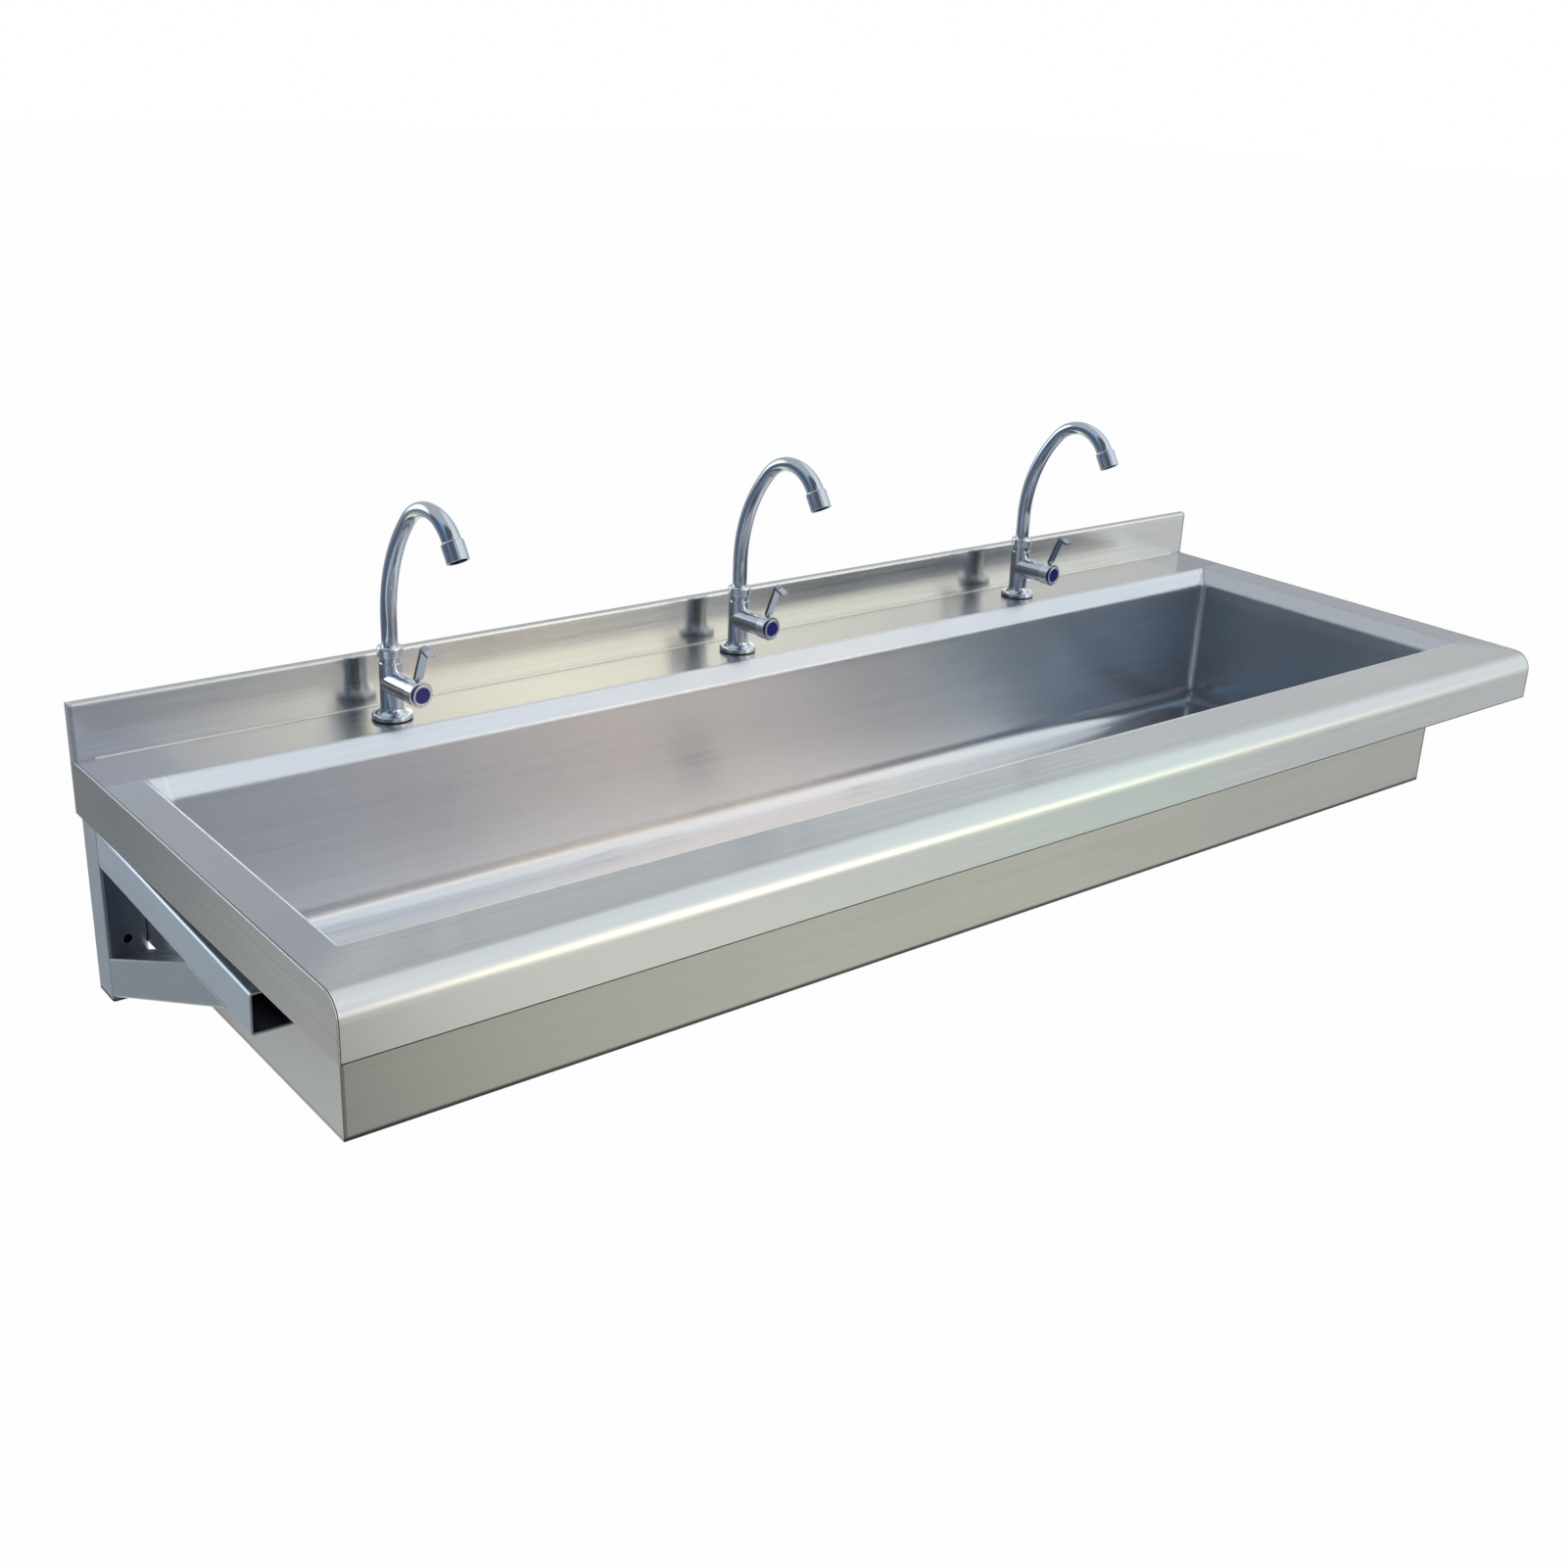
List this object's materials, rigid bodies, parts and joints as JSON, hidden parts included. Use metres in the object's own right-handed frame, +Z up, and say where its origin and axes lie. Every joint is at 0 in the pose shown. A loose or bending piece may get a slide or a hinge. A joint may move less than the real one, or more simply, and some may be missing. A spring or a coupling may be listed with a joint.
{
  "type": "trough sink",
  "caption": "Long wall-hung stainless trough sink on tube brackets: upstand, tap ledge, wide bowl with sloping band, rolled front and swan-neck taps with lever handles.",
  "frame": {"origin": "middle of the four wall bolts, in the wall plane", "axes": "+X along the sink to its right end, seen from the front; +Y into the wall; +Z up"},
  "size_m": [1.8, 0.65, 0.55],
  "materials": {
    "deck_steel": "satin brushed stainless steel, brushed along the sink",
    "splash_steel": "satin brushed stainless steel, brushed along the sink",
    "end_steel": "satin brushed stainless steel, brushed front to back",
    "bowl_steel": "satin stainless steel, a little glossier than the deck",
    "casing_steel": "satin brushed stainless steel sheet",
    "bracket_steel": "satin steel square tube",
    "cap_plastic": "dark grey plastic tube cap",
    "waste_steel": "polished stainless steel",
    "seal_rubber": "black rubber",
    "brass": "plain brass",
    "tap_chrome": "polished chrome",
    "collar_chrome": "polished chrome",
    "spout_chrome": "polished chrome",
    "lever_chrome": "polished chrome",
    "index_blue": "navy blue gloss plastic"
  },
  "bodies": {
    "basin": {"deck": "deck_steel", "backsplash": "splash_steel", "left_end_plate": "end_steel", "right_end_plate": "end_steel", "bowl": "bowl_steel", "bowl_casing": "casing_steel", "left_leg": "bracket_steel", "left_arm": "bracket_steel", "left_brace": "bracket_steel", "left_leg_cap": "cap_plastic", "right_leg": "bracket_steel", "right_arm": "bracket_steel", "right_brace": "bracket_steel", "right_leg_cap": "cap_plastic", "waste_flange": "waste_steel", "waste_grid": "waste_steel", "waste_screw": "waste_steel", "waste_gasket": "seal_rubber", "waste_washer": "seal_rubber", "waste_locknut": "brass", "left_tap_gasket": "seal_rubber", "left_tap_body": "tap_chrome", "left_tap_shank": "brass", "left_tap_backnut": "brass", "left_tap_collar": "collar_chrome", "left_tap_cartridge": "brass", "middle_tap_gasket": "seal_rubber", "middle_tap_body": "tap_chrome", "middle_tap_shank": "brass", "middle_tap_backnut": "brass", "middle_tap_collar": "collar_chrome", "middle_tap_cartridge": "brass", "right_tap_gasket": "seal_rubber", "right_tap_body": "tap_chrome", "right_tap_shank": "brass", "right_tap_backnut": "brass", "right_tap_collar": "collar_chrome", "right_tap_cartridge": "brass"},
    "left_spout": {"left_tap_spout": "spout_chrome", "left_tap_aerator": "spout_chrome"},
    "left_handle": {"left_tap_spindle": "brass", "left_tap_knob": "tap_chrome", "left_tap_lever": "lever_chrome", "left_tap_index_cap": "index_blue"},
    "middle_spout": {"middle_tap_spout": "spout_chrome", "middle_tap_aerator": "spout_chrome"},
    "middle_handle": {"middle_tap_spindle": "brass", "middle_tap_knob": "tap_chrome", "middle_tap_lever": "lever_chrome", "middle_tap_index_cap": "index_blue"},
    "right_spout": {"right_tap_spout": "spout_chrome", "right_tap_aerator": "spout_chrome"},
    "right_handle": {"right_tap_spindle": "brass", "right_tap_knob": "tap_chrome", "right_tap_lever": "lever_chrome", "right_tap_index_cap": "index_blue"}
  },
  "joints": [
    {"name": "left_spout_swing", "type": "hinge", "parent": "basin", "child": "left_spout", "pos_m": [-0.548, -0.06, 0.17], "axis": [0, 0, 1], "range_deg": [-90, 90]},
    {"name": "left_handle_turn", "type": "hinge", "parent": "basin", "child": "left_handle", "pos_m": [-0.548, -0.06, 0.214], "axis": [0.1045, -0.9945, 0], "range_deg": [0, 90]},
    {"name": "middle_spout_swing", "type": "hinge", "parent": "basin", "child": "middle_spout", "pos_m": [-0.045, -0.06, 0.17], "axis": [0, 0, 1], "range_deg": [-90, 90]},
    {"name": "middle_handle_turn", "type": "hinge", "parent": "basin", "child": "middle_handle", "pos_m": [-0.045, -0.06, 0.214], "axis": [0.1045, -0.9945, 0], "range_deg": [0, 90]},
    {"name": "right_spout_swing", "type": "hinge", "parent": "basin", "child": "right_spout", "pos_m": [0.476, -0.06, 0.17], "axis": [0, 0, 1], "range_deg": [-90, 90]},
    {"name": "right_handle_turn", "type": "hinge", "parent": "basin", "child": "right_handle", "pos_m": [0.476, -0.06, 0.214], "axis": [0.1045, -0.9945, 0], "range_deg": [0, 90]}
  ]
}
